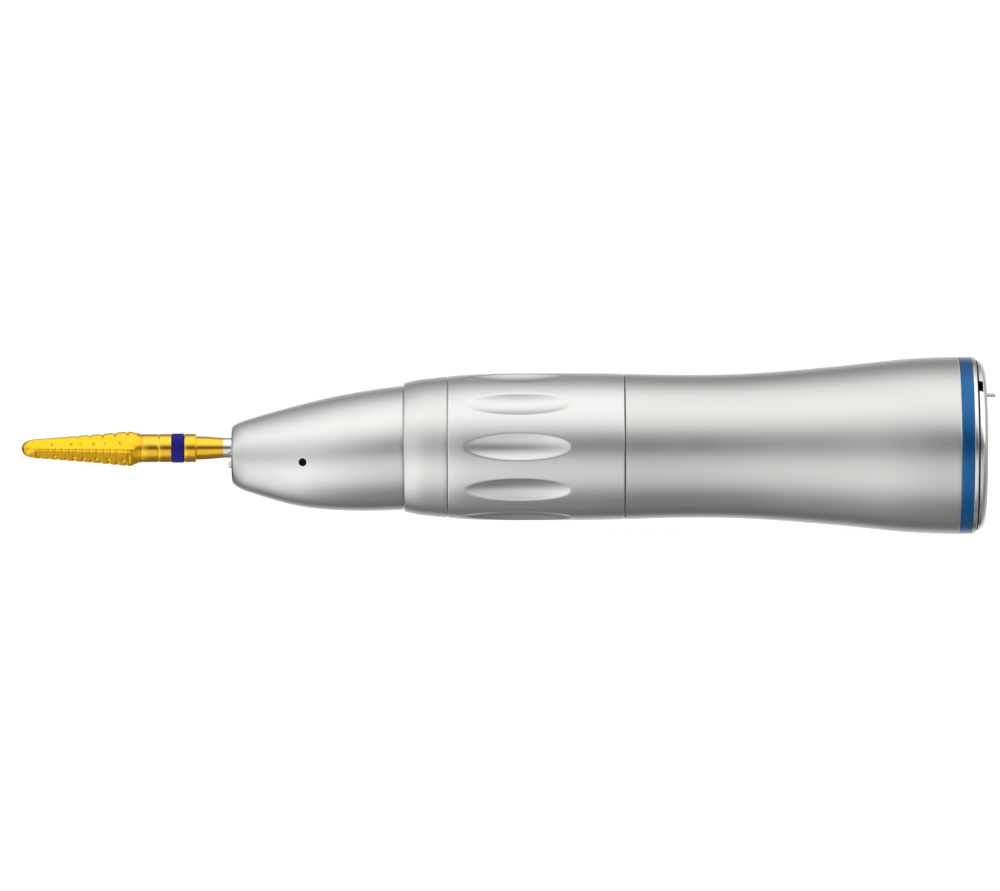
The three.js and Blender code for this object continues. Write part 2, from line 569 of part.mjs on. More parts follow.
part(
  housing, "end_flange",
  minus(
    turned([[-4.5, 6.0], [-4.5, 9.25], [-0.66, 9.25], [-0.66, 9.66], [-0.3, 9.28], [0, 8.8], [0, 6.0]], N_OUT),
    [
      lightBore,
      rod(0.66, 2, axialAt(-1, 7.4 * Math.cos(rad(LIGHT_AZ)), 7.4 * Math.sin(rad(LIGHT_AZ))), 10),
      rod(0.25, 4, axialAt(-2.2, ...flangePin), 8),
      radialBox(-0.33, 133, 8.5, 11, 0.38, 1.05),
      radialBox(-0.33, -47, 8.5, 11, 0.38, 1.05),
    ],
  ),
  polished(), [0, 0, 0],
);
part(housing, "alignment_pin", rod(0.2, 3.1, axialAt(-2.05, ...flangePin), 8), polished(), [0, ...flangePin]);

// ---------------------------------------------------------------- light guide and water tube
part(housing, "light_guide", swept(lightRoute, 0.55, 8, LIGHT_STEPS), glass(), [NOSE_X, 0, 0]);
part(housing, "water_tube", swept(waterRoute, 0.35, 6, WATER_STEPS, 0.2), steel(), [NOSE_X, 0, 0]);

export default handpiece;
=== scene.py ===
# Looks of the straight dental handpiece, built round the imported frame. Lengths below are millimetres in the row frame
# (+X from the cutter to the motor, +Z up) and become metres when a mesh is made.
import json
import math

import bmesh
import bpy
import numpy as np
from mathutils import Matrix, Vector

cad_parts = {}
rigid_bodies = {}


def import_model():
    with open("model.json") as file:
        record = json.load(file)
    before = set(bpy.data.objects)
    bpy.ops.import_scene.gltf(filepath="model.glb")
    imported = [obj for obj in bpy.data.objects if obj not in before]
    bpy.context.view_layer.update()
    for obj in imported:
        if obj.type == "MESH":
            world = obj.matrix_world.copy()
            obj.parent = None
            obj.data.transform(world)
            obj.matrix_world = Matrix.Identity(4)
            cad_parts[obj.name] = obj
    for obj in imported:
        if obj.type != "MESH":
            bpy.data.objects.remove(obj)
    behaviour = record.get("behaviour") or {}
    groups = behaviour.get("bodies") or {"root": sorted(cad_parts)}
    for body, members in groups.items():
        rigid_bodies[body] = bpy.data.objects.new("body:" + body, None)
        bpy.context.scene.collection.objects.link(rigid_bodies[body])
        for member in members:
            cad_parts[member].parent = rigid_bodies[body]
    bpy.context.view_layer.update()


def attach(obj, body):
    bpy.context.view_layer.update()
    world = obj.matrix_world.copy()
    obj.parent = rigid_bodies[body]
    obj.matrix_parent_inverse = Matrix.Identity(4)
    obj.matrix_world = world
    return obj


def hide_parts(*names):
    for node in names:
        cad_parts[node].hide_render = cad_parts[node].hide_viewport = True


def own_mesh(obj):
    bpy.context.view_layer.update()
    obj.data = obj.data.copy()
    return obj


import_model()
scene = bpy.context.scene
rad = math.radians

# ---------------------------------------------------------------- materials
def shader(name, base, rough, metal, **more):
    m = bpy.data.materials.new(name)
    m.use_nodes = True
    nt = m.node_tree
    b = nt.nodes["Principled BSDF"]
    b.inputs["Base Color"].default_value = (*base, 1)
    b.inputs["Roughness"].default_value = rough
    b.inputs["Metallic"].default_value = metal
    for k, v in more.items():
        b.inputs[k.replace("_", " ")].default_value = v
    return m, nt, b


def coords(nt, scale=(1, 1, 1)):
    c = nt.nodes.new("ShaderNodeTexCoord")
    s = nt.nodes.new("ShaderNodeMapping")
    s.inputs["Scale"].default_value = scale
    nt.links.new(c.outputs["Object"], s.inputs["Vector"])
    return s.outputs["Vector"]


def noise(nt, vector, scale, detail=3, rough=0.55):
    n = nt.nodes.new("ShaderNodeTexNoise")
    n.inputs["Scale"].default_value = scale
    n.inputs["Detail"].default_value = detail
    n.inputs["Roughness"].default_value = rough
    nt.links.new(vector, n.inputs["Vector"])
    return n.outputs["Fac"]


def ranged(nt, fac, lo, hi, a=0.3, z=0.7):
    r = nt.nodes.new("ShaderNodeMapRange")
    r.inputs["From Min"].default_value, r.inputs["From Max"].default_value = a, z
    r.inputs["To Min"].default_value, r.inputs["To Max"].default_value = lo, hi
    nt.links.new(fac, r.inputs["Value"])
    return r.outputs["Result"]


def tinted(nt, b, fac, dark, light):
    mix = nt.nodes.new("ShaderNodeMix")
    mix.data_type = "RGBA"
    mix.inputs["A"].default_value = (*dark, 1)
    mix.inputs["B"].default_value = (*light, 1)
    nt.links.new(fac, mix.inputs["Factor"])
    nt.links.new(mix.outputs["Result"], b.inputs["Base Color"])


def bumped(nt, b, heights, strength=1.0):
    last = None
    for fac, distance in heights:
        k = nt.nodes.new("ShaderNodeBump")
        k.inputs["Strength"].default_value = strength
        k.inputs["Distance"].default_value = distance
        nt.links.new(fac, k.inputs["Height"])
        if last:
            nt.links.new(last, k.inputs["Normal"])
        last = k.outputs["Normal"]
    nt.links.new(last, b.inputs["Normal"])


def metal(name, base, rough, spread=0.04, grain=0.0000012, lines=0.0000008, tint=0.05, grain_scale=9000):
    """Metal with a blasted grain, hairlines round the axis and slow variation of gloss and tone."""
    m, nt, b = shader(name, base, rough, 1.0)
    v = coords(nt)
    hair = noise(nt, coords(nt, (1, 0.03, 0.03)), 12000, 2)
    fine = noise(nt, v, grain_scale, 2)
    slow = noise(nt, v, 160, 4)
    nt.links.new(ranged(nt, slow, rough - spread, rough + spread), b.inputs["Roughness"])
    tinted(nt, b, ranged(nt, hair, 0, 1), [c * (1 - tint) for c in base], [min(1, c * (1 + tint)) for c in base])
    bumped(nt, b, [(fine, grain), (hair, lines)])
    return m


def plain(name, base, rough, metal_=0.0, spread=0.05, bump=0.000001, scale=4000, tint=0.12, **more):
    m, nt, b = shader(name, base, rough, metal_, **more)
    v = coords(nt)
    fine = noise(nt, v, scale, 3)
    nt.links.new(ranged(nt, noise(nt, v, 300, 3), rough - spread, rough + spread), b.inputs["Roughness"])
    tinted(nt, b, ranged(nt, fine, 0, 1), [c * (1 - tint) for c in base], [min(1, c * (1 + tint)) for c in base])
    bumped(nt, b, [(fine, bump)])
    return m


M = {
    "titanium": metal("satin_titanium", (0.605, 0.601, 0.587), 0.33, spread=0.02, grain=0.0000008, lines=0.0000002, tint=0.012),
    # Painted highlight: the twist ring, nose and collar copies of satin titanium have raised base tones so their
    # highlights come out brighter.
    "titanium_ring": metal("satin_titanium_twist_ring", (0.665, 0.661, 0.648), 0.32, spread=0.02, grain=0.0000008, lines=0.0000002, tint=0.012),
    "titanium_nose": metal("satin_titanium_nose", (0.66, 0.656, 0.643), 0.33, spread=0.02, grain=0.0000008, lines=0.0000002, tint=0.012),
    "titanium_collar": metal("satin_titanium_collar", (0.635, 0.631, 0.617), 0.33, spread=0.02, grain=0.0000008, lines=0.0000002, tint=0.012),
    "steel": metal("machined_steel", (0.55, 0.555, 0.56), 0.28, lines=0.000003, grain=0.0000004),
    "spring_steel": metal("drawn_spring_steel", (0.42, 0.42, 0.43), 0.3),
    "polished_steel": metal("polished_steel", (0.80, 0.80, 0.81), 0.13, spread=0.03, grain=0.0000002, lines=0.0000004, tint=0.02),
    "ground_steel": metal("ground_steel_shank", (0.80, 0.80, 0.81), 0.05, spread=0.01, grain=0.0000001, lines=0.0000002, tint=0.02),
    "gold_carbide": metal("gold_coated_carbide", (1.0, 0.53, 0.022), 0.24, spread=0.06, grain=0.0000025, lines=0.0, tint=0.12, grain_scale=5000),
    "gold_shank": metal("gold_coated_shank", (1.0, 0.56, 0.05), 0.10, spread=0.02, grain=0.0000005, lines=0.0000012, tint=0.06),
    "navy_band": plain("navy_enamel", (0.013, 0.011, 0.2), 0.5, spread=0.03, tint=0.05, Specular_IOR_Level=0.12),
    "blue_band": plain("blue_anodised_band", (0.0008, 0.1, 0.285), 0.25, 0.6, spread=0.02, bump=0.0000003, tint=0.04, Specular_IOR_Level=0.4),
    # Black enamel of the index dot, also used as painted shade inside the flange notches.
    "black_enamel": plain("black_enamel", (0.003, 0.003, 0.003), 0.45, Specular_IOR_Level=0.06),
    # Painted shade: dark material on the groove faces between end ring and flange, standing in for the shade in the
    # groove.
    "groove_dark": plain("oxide_dark_groove", (0.035, 0.035, 0.036), 0.4, Specular_IOR_Level=0.25),
    # Painted shade: dark material on the recessed land of the sheath's front seam, standing in for the shade in the
    # seam.
    "seam_shadow": plain("oxide_dark_seam", (0.13, 0.13, 0.132), 0.5, Specular_IOR_Level=0.12),
    "rubber": plain("nitrile_rubber", (0.02, 0.02, 0.022), 0.7, bump=0.000004),
    "polymer": plain("bearing_polymer", (0.66, 0.58, 0.42), 0.5, bump=0.000003),
    "glass_rod": plain("glass_rod", (0.9, 0.95, 0.96), 0.08, 0.0, tint=0.02, Transmission_Weight=0.9, IOR=1.5),
}
M["gold_carbide"].node_tree.nodes["Principled BSDF"].inputs["Metallic"].default_value = 0.93
for k in ("titanium", "titanium_ring", "titanium_nose", "titanium_collar", "blue_band"):  # a thin clear film
    b = M[k].node_tree.nodes["Principled BSDF"]
    b.inputs["Coat Weight"].default_value = 0.25 if k == "blue_band" else 0.4
    b.inputs["Coat Roughness"].default_value = 0.07

# ---------------------------------------------------------------- mesh helpers
N_BIG, N_MED = 192, 112


def spline(points, x):
    """Natural cubic spline through (x, y) points."""
    p = np.array(points, float)
    px, py = p[:, 0], p[:, 1]
    n, h = len(px), np.diff(px)
    a, d = np.eye(n), np.zeros(n)
    for i in range(1, n - 1):
        a[i, i - 1], a[i, i], a[i, i + 1] = h[i - 1], 2 * (h[i - 1] + h[i]), h[i]
        d[i] = 6 * ((py[i + 1] - py[i]) / h[i] - (py[i] - py[i - 1]) / h[i - 1])
    m = np.linalg.solve(a, d)
    x = np.asarray(x, float)
    k = np.clip(np.searchsorted(px, x) - 1, 0, n - 2)
    u, v = px[k + 1] - x, x - px[k]
    return (m[k] * u**3 + m[k + 1] * v**3) / (6 * h[k]) + (py[k] / h[k] - m[k] * h[k] / 6) * u + (py[k + 1] / h[k] - m[k + 1] * h[k] / 6) * v


def rounded(points, radius, steps=3):
    """The closed profile with each corner off the axis turned into an arc."""
    out, n = [], len(points)
    for i in range(n):
        p, q, s = (Vector(points[j % n][:2]) for j in (i - 1, i, i + 1))
        a, b = p - q, s - q
        if q.y < 1e-6 or a.length < 1e-6 or b.length < 1e-6:
            out.append(tuple(q))
            continue
        turn = a.angle(b)
        if turn > rad(160):
            out.append(tuple(q))
            continue
        reach = min(radius, 0.42 * a.length, 0.42 * b.length)
        start, end = q + a.normalized() * reach, q + b.normalized() * reach
        for k in range(steps + 1):
            t = k / steps
            out.append(tuple(start * (1 - t) ** 2 + q * 2 * t * (1 - t) + end * t * t))
    return out


def make(name, verts, faces, mat, sharp=38):
    """A mesh object from millimetre points, closed and facing out."""
    me = bpy.data.meshes.new(name)
    me.from_pydata([tuple(c * 0.001 for c in v) for v in verts], [], faces)
    bm = bmesh.new()
    bm.from_mesh(me)
    bmesh.ops.remove_doubles(bm, verts=bm.verts, dist=2e-7)
    bmesh.ops.dissolve_degenerate(bm, edges=bm.edges, dist=1e-8)
    bmesh.ops.recalc_face_normals(bm, faces=bm.faces)
    bm.to_mesh(me)
    bm.free()
    return finish_mesh(name, me, mat, sharp)


def finish_mesh(name, me, mat, sharp=38):
    me.shade_smooth()
    me.set_sharp_from_angle(angle=rad(sharp))
    for m in mat if isinstance(mat, (list, tuple)) else [mat]:
        me.materials.append(M[m] if isinstance(m, str) else m)
    o = bpy.data.objects.new(name, me)
    scene.collection.objects.link(o)
    return o


def rings(name, sections, mat, closed=True, sharp=38, caps=False):
    """A surface through sections of equal point counts. closed joins the last section to the first; caps closes both ends."""
    n, count = len(sections[0]), len(sections)
    verts = [p for s in sections for p in s]
    faces = []
    for k in range(count if closed else count - 1):
        a0, b0 = k * n, ((k + 1) % count) * n
        for i in range(n):
            j = (i + 1) % n
            faces.append((a0 + i, a0 + j, b0 + j, b0 + i))
    if caps:
        faces.append(tuple(range(n)))
        faces.append(tuple((count - 1) * n + i for i in range(n)))
    return make(name, verts, faces, mat, sharp)


def circle(x, r, cz=0.0, n=N_MED):
    return [(x, r * math.cos(2 * math.pi * i / n), cz + r * math.sin(2 * math.pi * i / n)) for i in range(n)]


def turned(name, points, mat, n=N_MED, edge=0.07, steps=3):
    """A turned piece about the X axis, its corners rounded by edge."""
    return rings(name, [circle(x, max(r, 0.0), 0, n) for x, r in rounded(points, edge, steps)], mat)


def tube(name, x0, x1, ri, ro, mat, n=N_MED, edge=0.07):
    return turned(name, [(x0, ri), (x0, ro), (x1, ro), (x1, ri)], mat, n, edge)


def swept(name, path, radius, mat, sides=20, bore=0.0, closed=False):
    """A round section along a list of points, with parallel-carried frames. bore makes it a pipe, open at both ends."""
    pts = [Vector(p) for p in path]
    count = len(pts)
    tan = [((pts[(i + 1) % count] if closed else pts[min(i + 1, count - 1)]) - (pts[i - 1] if closed or i else pts[0])).normalized() for i in range(count)]
    up = Vector((0, 0, 1)) if abs(tan[0].z) < 0.9 else Vector((0, 1, 0))
    u = (up - tan[0] * up.dot(tan[0])).normalized()
    out, inn = [], []
    for p, t in zip(pts, tan):
        u = (u - t * u.dot(t)).normalized()
        w = t.cross(u)
        ring = lambda r: [tuple(p + (u * math.cos(2 * math.pi * i / sides) + w * math.sin(2 * math.pi * i / sides)) * r) for i in range(sides)]
        out.append(ring(radius))
        if bore:
            inn.append(ring(bore))
    if bore:
        return rings(name, out + inn[::-1], mat)
    e = 0.12 * radius
    first, last = [Vector(v) for v in out[0]], [Vector(v) for v in out[-1]]
    small = lambda ring, c: [tuple(c + (v - c) * 0.86) for v in ring]
    out[0], out[-1] = [tuple(v + tan[0] * e) for v in first], [tuple(v - tan[-1] * e) for v in last]
    return rings(name, [small(first, pts[0])] + out + [small(last, pts[-1])], mat, closed=False, caps=True)


def rod(name, start, direction, length, radius, mat, sides=40, edge=0.05):
    d = Vector(direction).normalized()
    u = d.orthogonal().normalized()
    w = d.cross(u)
    secs = []
    for t, r in [(0, radius - edge), (edge * 0.3, radius - edge * 0.3), (edge, radius), (length - edge, radius), (length - edge * 0.3, radius - edge * 0.3), (length, radius - edge)]:
        c = Vector(start) + d * t
        secs.append([tuple(c + (u * math.cos(2 * math.pi * i / sides) + w * math.sin(2 * math.pi * i / sides)) * r) for i in range(sides)])
    return rings(name, secs, mat, closed=False, caps=True)


def out_dir(az):
    return Vector((0, math.cos(rad(az)), math.sin(rad(az))))


def radial_block(x, az, r0, r1, along, side):
    o, a = out_dir(az), Vector((1, 0, 0))
    s = o.cross(a)
    c = Vector((x, 0, 0))
    v = [tuple(c + o * rr + a * aa * along / 2 + s * ss * side / 2) for rr in (r0, r1) for aa in (-1, 1) for ss in (-1, 1)]
    f = [(0, 1, 3, 2), (4, 6, 7, 5), (0, 4, 5, 1), (2, 3, 7, 6), (0, 2, 6, 4), (1, 5, 7, 3)]
    return make("cutter_tool", v, f, [])


def cut(obj, tools, sharp=38):
    """obj with the tools' volumes taken away; the tools are removed."""
    for t in tools:
        mod = obj.modifiers.new("cut", "BOOLEAN")
        mod.operation, mod.solver, mod.object = "DIFFERENCE", "EXACT", t
    dg = bpy.context.evaluated_depsgraph_get()
    me = bpy.data.meshes.new_from_object(obj.evaluated_get(dg))
    obj.modifiers.clear()
    obj.data = me
    me.shade_smooth()
    me.set_sharp_from_angle(angle=rad(sharp))
    for t in tools:
        bpy.data.objects.remove(t)
    return obj


def place(obj, body, slot, *nodes):
    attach(obj, body)
    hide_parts(*(nodes or (obj.name,)))
    return obj


def named(obj, name):
    obj.name = obj.data.name = name
    return obj


V = "_v"  # every visual piece carries this after its node's name


def add(obj, body, slot, *nodes):
    node = obj.name.split(".")[0]
    named(obj, node + V)
    return place(obj, body, slot, *(nodes or (node,)))


# ---------------------------------------------------------------- routes of light guide and water tube
def route(az, stations, step=0.8):
    xs = np.array([s[0] for s in stations])
    rs = [(s[0], s[1]) for s in stations]
    n = int((xs[-1] - xs[0]) / step)
    x = np.linspace(xs[0], xs[-1], n + 1)
    y = np.interp(x, xs, [s[1] for s in stations])
    k = np.ones(5) / 5
    sm = np.convolve(np.pad(y, 2, mode="reflect", reflect_type="odd"), k, mode="valid")
    return [(float(a), float(b) * math.cos(rad(az)), float(b) * math.sin(rad(az))) for a, b in zip(x, sm)]


LIGHT = [(-87.44, 3.24), (-84, 4.12), (-80.5, 5.0), (-77.5, 5.66), (-75, 5.93), (-72, 5.98), (-60, 5.98), (-50, 5.98), (-43, 5.98), (-40, 6.2), (-36.5, 6.66), (-33, 6.84), (-24, 6.86), (-15, 7.15), (-7, 7.38), (-0.15, 7.4)]
WATER = [(-86.2, 3.25), (-83, 4.08), (-80, 4.86), (-77.5, 5.45), (-75, 5.86), (-72, 5.98), (-60, 5.98), (-50, 5.98), (-43, 5.98), (-40, 6.2), (-36.5, 6.66), (-33, 6.8), (-24, 6.8), (-13.0, 6.8)]
LIGHT_AZ, WATER_AZ = -90, -139
light_path, water_path = route(LIGHT_AZ, LIGHT), route(WATER_AZ, WATER)


def bores():
    ends = lambda p: [tuple(Vector(p[0]) - (Vector(p[1]) - Vector(p[0])) * 1.5)] + list(p) + [tuple(Vector(p[-1]) + (Vector(p[-1]) - Vector(p[-2])) * 1.5)]
    return [swept("bore_a", ends(light_path), 0.66, [], 24), swept("bore_b", water_path, 0.46, [], 20)]


# ---------------------------------------------------------------- nose cone
UP = [(-84, 3.80), (-81.2, 4.58), (-78.4, 5.30), (-75.6, 5.93), (-72.8, 6.45), (-70, 6.88), (-67.7, 7.16)]
DOWN = [(-84, 5.66), (-81.2, 6.48), (-78.4, 7.02), (-75.6, 7.28), (-72.8, 7.38), (-70, 7.36), (-67.7, 7.28)]
FRONT = [(-87.5, 2.36, 4.0), (-87.42, 2.49, 4.14), (-87.27, 2.63, 4.3), (-87.0, 2.79, 4.5), (-86.6, 2.98, 4.74), (-86.1, 3.16, 4.97), (-85.5, 3.35, 5.18), (-84.8, 3.56, 5.41)]
nose = list(FRONT) + [(x, float(spline(UP, x)), float(spline(DOWN, x))) for x in np.arange(-84.0, -67.9, 0.4)]
rear = lambda x, drop: (x, float(spline(UP, x)) - drop, float(spline(DOWN, x)) - drop)
nose += [rear(-67.66, 0), rear(-67.60, 0.015), rear(-67.575, 0.05), rear(-67.57, 0.18), rear(-67.51, 0.18)]
es = lambda x, up, dn, w=0.0: circle(x, (up + dn) / 2 - w, (up - dn) / 2, N_BIG)
secs = [es(*s) for s in nose]
secs += [es(-67.51, 7.16, 7.24, 0.72)] + [es(x, float(spline(UP, x)), float(spline(DOWN, x)), 0.66) for x in np.arange(-68.4, -75.0, -0.8)] + [es(-75.2, 6.02, 7.29, 0.66)]
secs += [circle(-75.2, 4.5, 0, N_BIG), circle(-79.3, 4.5, 0, N_BIG), circle(-79.3, 2.4, 0, N_BIG), circle(-87.0, 2.4, 0, N_BIG), circle(-87.0, 1.97, 0, N_BIG), circle(-87.36, 1.95, 0, N_BIG), circle(-87.46, 2.0, 0, N_BIG), circle(-87.5, 2.1, 0, N_BIG)]
nz = (2.955 * math.cos(rad(WATER_AZ)), 2.955 * math.sin(rad(WATER_AZ)))
dot_c = Vector((-79.19, 6.03 * math.cos(rad(187.2)), -0.94 + 6.03 * math.sin(rad(187.2))))
dot_n = Vector((-0.24, math.cos(rad(187.2)), math.sin(rad(187.2)))).normalized()
nose_obj = cut(rings("nose_cone", secs, "titanium_nose"), bores() + [
    rod("t1", (-88.5, *nz), (1, 0, 0), 3.0, 0.44, [], 32, 0.01),
    rod("t2", dot_c - dot_n * 0.4, dot_n, 1.5, 0.47, [], 40, 0.01),
])
add(nose_obj, "housing", "titanium")
add(rod("index_dot", dot_c - dot_n * 0.36, dot_n, 0.37, 0.43, "black_enamel", 40, 0.05), "housing", "black_enamel")
add(cut(rod("spray_nozzle", (-87.85, *nz), (1, 0, 0), 1.5, 0.38, "steel", 40, 0.08), [rod("t", (-88.5, *nz), (1, 0, 0), 3, 0.16, [], 24, 0.01)]), "housing", "steel")
add(swept("light_guide", light_path, 0.55, "glass_rod", 32), "housing", "glass_rod")
add(swept("water_tube", water_path, 0.35, "steel", 24, 0.2), "housing", "steel")

# ---------------------------------------------------------------- collar, twist ring, rear sheath
COLLAR = [(-67.5, 7.47), (-66, 7.82), (-64.4, 8.03), (-62.6, 8.21)]
xs = np.linspace(-67.42, -62.68, 14)
add(cut(rings("front_collar", [circle(x, r, 0, N_BIG) for x, r in rounded(
    [(-67.5, 4.5), (-67.5, 7.3), (-67.47, 7.42), (-67.38, 7.5)] + [(float(x), float(spline(COLLAR, x))) for x in xs[1:-1]] + [(-62.53, 8.215), (-62.47, 8.155), (-62.47, 8.02), (-62.42, 8.02), (-62.42, 7.55), (-62.6, 7.55), (-62.6, 6.8), (-60.6, 6.8), (-60.6, 4.5)], 0.02)],
    "titanium_collar"), bores()), "housing", "titanium")

TWIST = [(-62.4, 8.22), (-61.4, 8.325), (-59, 8.46), (-56, 8.535), (-52, 8.555), (-45, 8.54), (-42, 8.475)]
xo = [-62.4, -62.385, -62.34, -62.26] + list(np.arange(-62.1, -42.1, 0.105)) + [-42.06, -41.98, -41.935, -41.92]
soften = {0: 0.07, 1: 0.045, 2: 0.005}
N_TW = 480
th = np.arange(N_TW) * 2 * math.pi / N_TW


def dimple_floor(x, r0):
    """Radius of the grip dimples' floor at station x for each angle, or a large number where there is none."""
    u = (x + 54.2) / (6.3 if x < -54.2 else 6.0)
    if abs(u) >= 1:
        return np.full(N_TW, 99.0)
    depth = 0.575 * (1 - u * u) ** (1.2 if x < -54.2 else 0.88)
    R = 3.0
    t = (th - math.pi + rad(18)) % rad(36) - rad(18)
    s = r0 * np.sin(t)
    h = r0 - depth + R - np.sqrt(np.maximum(R * R - s * s, 0.01))
    return h / np.cos(t)


outer = []
for k, x in enumerate(xo):
    r0 = float(spline(TWIST, x)) - soften.get(min(k, len(xo) - 1 - k), 0)
    f = dimple_floor(x, r0)
    e = 0.025
    r = np.where(np.abs(f - r0) < 1.5, 0.5 * (r0 + f - np.sqrt((f - r0) ** 2 + e * e)) + 0.0, r0)
    r = np.minimum(r, r0)
    outer.append([(x, r[i] * math.cos(th[i]), r[i] * math.sin(th[i])) for i in range(N_TW)])
inner = [circle(-41.92, 7.86, 0, N_TW), circle(-42.0, 7.8, 0, N_TW), circle(-42.08, 7.55, 0, N_TW), circle(-62.32, 7.55, 0, N_TW), circle(-62.4, 7.62, 0, N_TW)]
add(rings("twist_ring", outer + inner, "titanium_ring", sharp=60), "twist_ring", "titanium")

SHEATH = [(-41.8, 8.47), (-37, 8.34), (-32.5, 8.31), (-27.5, 8.45), (-22.6, 8.78), (-18.4, 9.14), (-14.2, 9.56), (-10.5, 9.95), (-7.2, 10.19), (-3.08, 10.3)]
xs = np.arange(-41.6, -3.25, 0.4)
sheath = rings("rear_sheath", [circle(x, r, 0, N_BIG) for x, r in [
    (-41.8, 7.8), (-41.9, 7.85), (-41.9, 8.3), (-41.78, 8.3), (-41.78, 8.455), (-41.775, 8.463)] + [(float(x), float(spline(SHEATH, x))) for x in xs] + [
    (-3.2, 10.3), (-3.07, 10.265), (-3.05, 10.24), (-3.05, 9.34), (-7.2, 9.34), (-12, 8.9), (-18.4, 8.3), (-26, 7.72), (-41.72, 7.72)]], ["titanium", "seam_shadow"])
# Painted shade: the faces of the recessed land at the sheath's front take the dark seam material.
for p in sheath.data.polygons:
    c = p.center * 1000
    if -41.89 < c.x < -41.779 and math.hypot(c.y, c.z) > 8.2:
        p.material_index = 1
add(sheath, "housing", "titanium")

# ---------------------------------------------------------------- motor end
tb = lambda *a, **k: tube(*a, **k)
add(tube("ratio_band", -3.04, -1.59, 9.34, 10.27, "blue_band", N_BIG, 0.07), "housing", "blue_band")
end_ring = turned("end_ring", [(-1.57, 9.34), (-1.57, 10.3), (-1.16, 10.28), (-1.1, 10.14), (-1.02, 9.94), (-1.0, 9.34)], ["polished_steel", "groove_dark"], N_BIG, 0.04)
# Painted shade: the end ring's rear faces beside the groove take the dark groove material.
for p in end_ring.data.polygons:
    if p.center.x > -0.00113:
        p.material_index = 1
add(end_ring, "housing", "polished_steel")
fp = (7.22 * math.cos(rad(126.5)), 7.22 * math.sin(rad(126.5)))
flange = turned("end_flange", [(-4.5, 6.0), (-4.5, 9.25), (-0.98, 9.25), (-0.98, 9.5), (-0.92, 9.5), (-0.92, 9.9), (-0.6, 9.83), (-0.4, 9.68), (-0.2, 9.42), (-0.04, 9.02), (0, 8.8), (0, 6.0)], ["polished_steel", "groove_dark", "black_enamel"], N_BIG, 0.03)
# Painted shade: the flange's faces inside the groove take the dark groove material.
for p in flange.data.polygons:
    c = p.center * 1000
    if -1.2 < c.x < -0.9 and math.hypot(c.y, c.z) > 9.3:
        p.material_index = 1
# Painted shade: the faces inside the two flange notches take black enamel, standing in for the shade in the pockets.
notches = [radial_block(-0.81, 136, 8.9, 11, 0.68, 1.65), radial_block(-0.81, -44, 8.9, 11, 0.68, 1.65)]
for t in notches:
    for m in ("polished_steel", "groove_dark", "black_enamel"):
        t.data.materials.append(M[m])
    for p in t.data.polygons:
        p.material_index = 2
add(cut(flange, [bores()[0], rod("t", (-2.2, *fp), (1, 0, 0), 4, 0.25, [], 24, 0.01)] + notches), "housing", "polished_steel")
for spare in [o for o in bpy.data.objects if o.name.startswith("bore_b")]:
    bpy.data.objects.remove(spare)
add(rod("alignment_pin", (-2.05, *fp), (1, 0, 0), 3.1, 0.2, "steel", 32, 0.06), "housing", "polished_steel")
fy = 6.75
add(cut(turned("coupling_sleeve", [(-34.0, 2.6), (-34.0, 5.9), (-0.1, 5.9), (-0.1, 5.4), (-0.5, 5.05), (-26.55, 5.05), (-26.55, 5.5), (-27.45, 5.5), (-27.45, 5.05), (-31.5, 5.05), (-31.5, 2.6)], "steel", N_BIG, 0.06),
    [rod("t", out_dir(WATER_AZ) * 4 + Vector((-12.5, 0, 0)), out_dir(WATER_AZ), 3, 0.4, [], 24, 0.01)]), "housing", "steel")
arc = [(-27, 5.15 * math.cos(rad(-60 + 300 * i / 90)), 5.15 * math.sin(rad(-60 + 300 * i / 90))) for i in range(91)]
add(swept("lock_spring", arc, 0.25, "spring_steel", 16), "housing", "spring_steel")
add(cut(rod("water_fitting", out_dir(WATER_AZ) * 6.05 + Vector((-12.5, 0, 0)), out_dir(WATER_AZ), 1.3, 0.85, "steel", 40, 0.1),
    [rod("t", out_dir(WATER_AZ) * 5.8 + Vector((-12.5, 0, 0)), out_dir(WATER_AZ), 1.3, 0.3, [], 24, 0.01),
     rod("t", out_dir(WATER_AZ) * 6.75 + Vector((-13.85, 0, 0)), (1, 0, 0), 1.0, 0.42, [], 24, 0.01)]), "housing", "steel")
b = bores()
add(cut(turned("rear_bulkhead", [
    (-43.9, 5.3), (-43.9, 6.8), (-41.95, 6.8), (-41.95, 7.6), (-41.2, 7.6), (-41.2, 7.0), (-40.4, 7.0), (-40.4, 7.6),
    (-31.5, 7.6), (-31.5, 5.98), (-34.1, 5.98), (-34.1, 2.6), (-36.85, 2.6), (-36.85, 4.02), (-37.95, 4.02), (-37.95, 4.35),
    (-38.4, 4.35), (-38.4, 4.02), (-41.05, 4.02), (-41.05, 3.6), (-42.0, 3.6), (-42.0, 5.3)], "steel", N_BIG, 0.04, 2),
    b + [rod("t", out_dir(90) * 5.45 + Vector((-43.1, 0, 0)), (0, 0, 1), 3, 0.5, [], 32, 0.01)]), "housing", "steel")
o_ring = lambda name, x, r, w: add(rings(name, [circle(x + w * math.cos(a), r + w * math.sin(a), 0, N_MED) for a in np.arange(20) * 2 * math.pi / 20], "rubber"), "housing", "rubber")
o_ring("sheath_o_ring", -40.8, 7.32, 0.3)
o_ring("nose_o_ring", -78.9, 4.08, 0.32)
add(cut(tube("bearing_circlip", -38.36, -38.0, 3.55, 4.3, "spring_steel", edge=0.04), [radial_block(-38.2, -40, 2, 6, 1, 1.6)]), "housing", "spring_steel")
add(tube("shaft_seal", -37.88, -36.92, 2.22, 3.95, "rubber", edge=0.12), "housing", "rubber")

